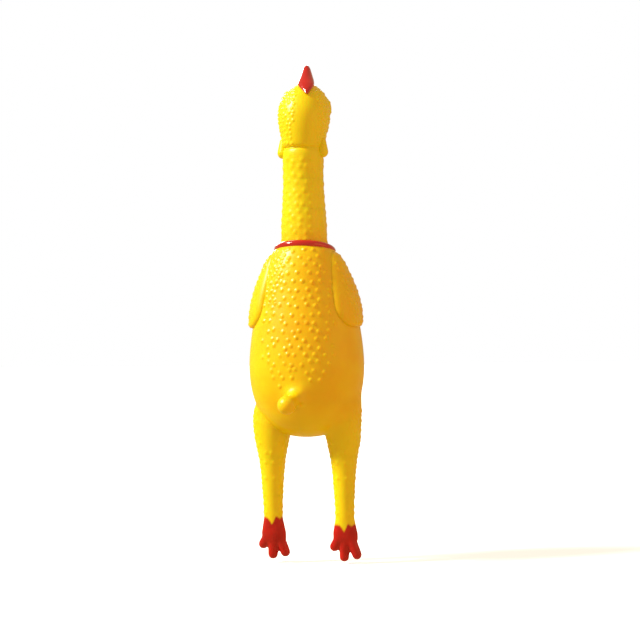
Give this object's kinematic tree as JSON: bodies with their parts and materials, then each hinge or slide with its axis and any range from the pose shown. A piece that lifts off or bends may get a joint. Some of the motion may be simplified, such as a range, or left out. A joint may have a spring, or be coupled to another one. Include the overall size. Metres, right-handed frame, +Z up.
{
  "type": "rubber chicken",
  "caption": "Upright hollow soft vinyl chicken that screams when squeezed, with bending neck and legs, flapping wings, open beak and a reed whistle in the throat.",
  "frame": {"origin": "inside the body at the hand grip, on the neck's axis and 165 mm above the tips of the toes", "axes": "+Z up from the feet to the comb, -Y the way the beak and the belly face, +X the bird's left"},
  "size_m": [0.0934, 0.1187, 0.39],
  "materials": {
    "skin": "soft yellow vinyl, satin",
    "red_paint": "soft vinyl painted glossy red",
    "eye_white": "soft vinyl painted white with a black pupil",
    "whistle_plastic": "moulded white plastic",
    "carrier_plastic": "moulded amber plastic",
    "reed_metal": "rolled brass strip"
  },
  "bodies": {
    "torso": {"torso_shell": "skin", "neck_collar": "red_paint"},
    "belly": {"belly_panel": "skin"},
    "neck_lower": {"neck_lower": "skin"},
    "neck_upper": {"neck_upper": "skin"},
    "head": {"head_shell": "skin", "upper_beak": "red_paint", "comb": "red_paint", "eye_left": "eye_white", "eye_right": "eye_white", "whistle_barrel": "whistle_plastic", "whistle_grille": "whistle_plastic", "reed_carrier": "carrier_plastic", "reed_clip": "carrier_plastic", "whistle_snap_ring": "whistle_plastic"},
    "lower_beak": {"lower_beak": "red_paint"},
    "wattle_left": {"wattle_left": "skin"},
    "wattle_right": {"wattle_right": "skin"},
    "reed": {"reed_tongue": "reed_metal"},
    "wing_left": {"wing_left": "skin"},
    "wing_right": {"wing_right": "skin"},
    "tail": {"tail_nub": "skin"},
    "thigh_left": {"thigh_left": "skin"},
    "thigh_right": {"thigh_right": "skin"},
    "shank_left": {"shank_left": "skin"},
    "shank_right": {"shank_right": "skin"},
    "foot_left": {"foot_left": "red_paint"},
    "foot_right": {"foot_right": "red_paint"}
  },
  "joints": [
    {"name": "belly_squeeze", "type": "slide", "parent": "torso", "child": "belly", "axis": [0, 1, 0], "range_m": [0, 0.02], "stiffness_N_per_m": 150},
    {"name": "neck_bend", "type": "hinge", "parent": "torso", "child": "neck_lower", "pos_m": [0, 0, 0.091], "axis": [1, 0, 0], "range_deg": [-30, 35], "stiffness_Nm_per_rad": 0.6},
    {"name": "neck_sway", "type": "hinge", "parent": "neck_lower", "child": "neck_upper", "pos_m": [0, 0, 0.12], "axis": [0, 1, 0], "range_deg": [-30, 30], "stiffness_Nm_per_rad": 0.5},
    {"name": "head_nod", "type": "hinge", "parent": "neck_upper", "child": "head", "pos_m": [0, 0, 0.152], "axis": [1, 0, 0], "range_deg": [-25, 25], "stiffness_Nm_per_rad": 0.3},
    {"name": "beak_close", "type": "hinge", "parent": "head", "child": "lower_beak", "pos_m": [0, -0.027, 0.186], "axis": [-1, 0, 0], "range_deg": [0, 20], "stiffness_Nm_per_rad": 0.05},
    {"name": "wattle_left_lift", "type": "hinge", "parent": "head", "child": "wattle_left", "pos_m": [0.0162, 0, 0.1675], "axis": [0, -1, 0], "range_deg": [0, 25], "stiffness_Nm_per_rad": 0.005},
    {"name": "wattle_right_lift", "type": "hinge", "parent": "head", "child": "wattle_right", "pos_m": [-0.0162, 0, 0.1675], "axis": [0, 1, 0], "range_deg": [0, 25], "stiffness_Nm_per_rad": 0.005},
    {"name": "reed_buzz", "type": "hinge", "parent": "head", "child": "reed", "pos_m": [0, -0.01475, 0.18041], "axis": [1, 0, 0], "range_deg": [-1.6, 1.6], "stiffness_Nm_per_rad": 0.002},
    {"name": "wing_left_flap", "type": "hinge", "parent": "torso", "child": "wing_left", "pos_m": [0.029, 0.002, 0.074], "axis": [0, -1, 0], "range_deg": [0, 50], "stiffness_Nm_per_rad": 0.05},
    {"name": "wing_right_flap", "type": "hinge", "parent": "torso", "child": "wing_right", "pos_m": [-0.029, 0.002, 0.074], "axis": [0, 1, 0], "range_deg": [0, 50], "stiffness_Nm_per_rad": 0.05},
    {"name": "tail_bend", "type": "hinge", "parent": "torso", "child": "tail", "pos_m": [0, 0.0392, -0.03], "axis": [1, 0, 0], "range_deg": [-3, 25], "stiffness_Nm_per_rad": 0.08},
    {"name": "hip_left", "type": "hinge", "parent": "torso", "child": "thigh_left", "pos_m": [0.029, -0.001, -0.055], "axis": [1, 0, 0], "range_deg": [-40, 40], "stiffness_Nm_per_rad": 0.12},
    {"name": "knee_left", "type": "hinge", "parent": "thigh_left", "child": "shank_left", "pos_m": [0.029, -0.001, -0.097], "axis": [1, 0, 0], "range_deg": [-35, 35], "stiffness_Nm_per_rad": 0.08},
    {"name": "ankle_left", "type": "hinge", "parent": "shank_left", "child": "foot_left", "pos_m": [0.029, -0.001, -0.129], "axis": [1, 0, 0], "range_deg": [-30, 30], "stiffness_Nm_per_rad": 0.05},
    {"name": "hip_right", "type": "hinge", "parent": "torso", "child": "thigh_right", "pos_m": [-0.029, -0.001, -0.055], "axis": [1, 0, 0], "range_deg": [-40, 40], "stiffness_Nm_per_rad": 0.12},
    {"name": "knee_right", "type": "hinge", "parent": "thigh_right", "child": "shank_right", "pos_m": [-0.029, -0.001, -0.097], "axis": [1, 0, 0], "range_deg": [-35, 35], "stiffness_Nm_per_rad": 0.08},
    {"name": "ankle_right", "type": "hinge", "parent": "shank_right", "child": "foot_right", "pos_m": [-0.029, -0.001, -0.129], "axis": [1, 0, 0], "range_deg": [-30, 30], "stiffness_Nm_per_rad": 0.05}
  ]
}
